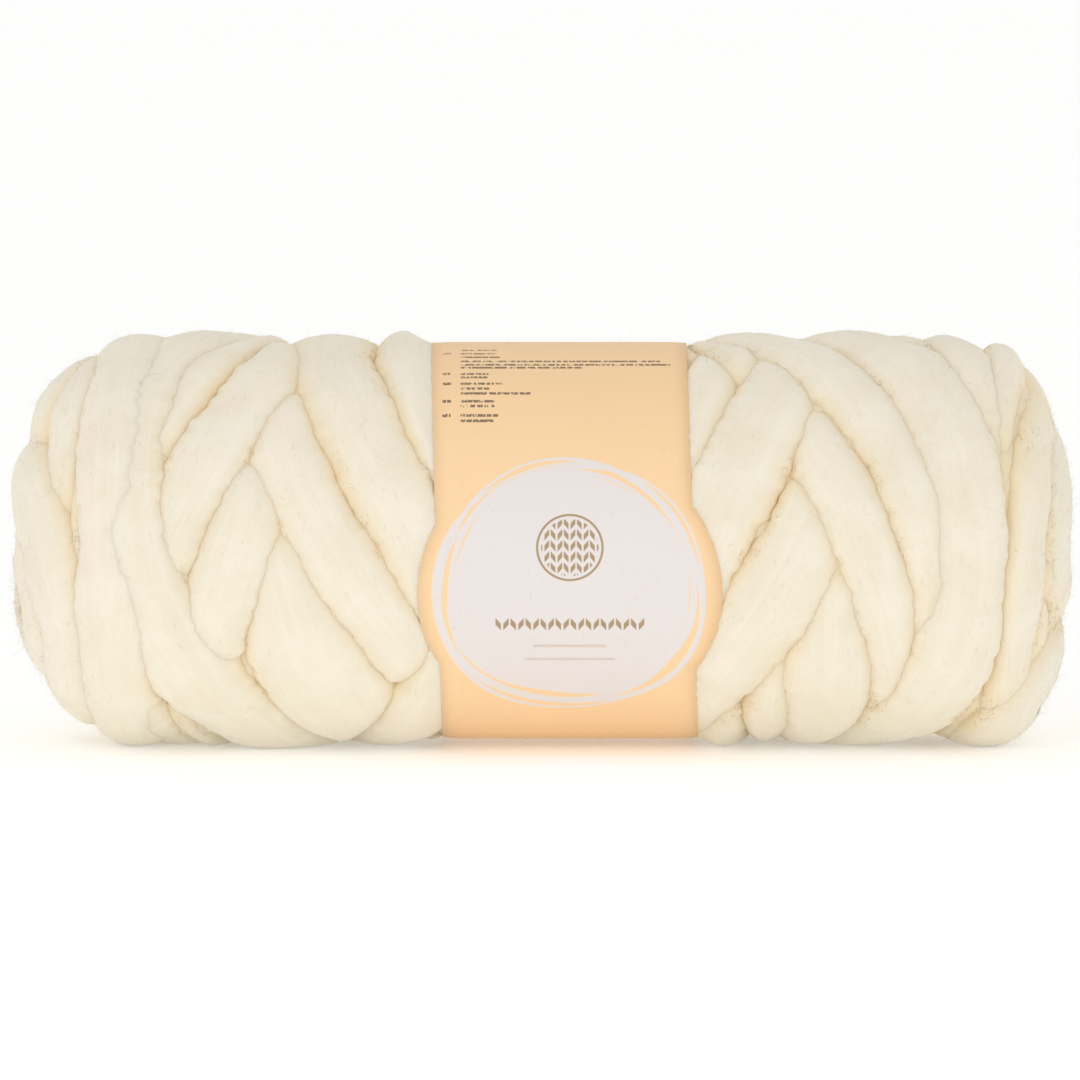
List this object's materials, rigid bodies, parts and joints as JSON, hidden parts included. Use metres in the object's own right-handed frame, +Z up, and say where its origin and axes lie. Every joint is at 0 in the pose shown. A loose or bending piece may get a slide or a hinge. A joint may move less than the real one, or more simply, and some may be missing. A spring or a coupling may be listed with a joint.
{
  "type": "skein of chunky wool yarn",
  "caption": "Barrel-shaped skein of thick cream wool roving, wound in slanting turns and held round the middle by a plain peach paper band.",
  "frame": {"origin": "on the surface that the skein rests on, under the middle of its box", "axes": "+X along the skein's axis, -Y towards the front of the paper band, +Z up"},
  "size_m": [0.376, 0.1487, 0.1456],
  "materials": {
    "wool": "undyed cream wool, soft and matt",
    "paper": "peach paper with an off-white disc"
  },
  "bodies": {
    "root": {"wool_skein": "wool", "paper_band": "paper"}
  },
  "joints": []
}
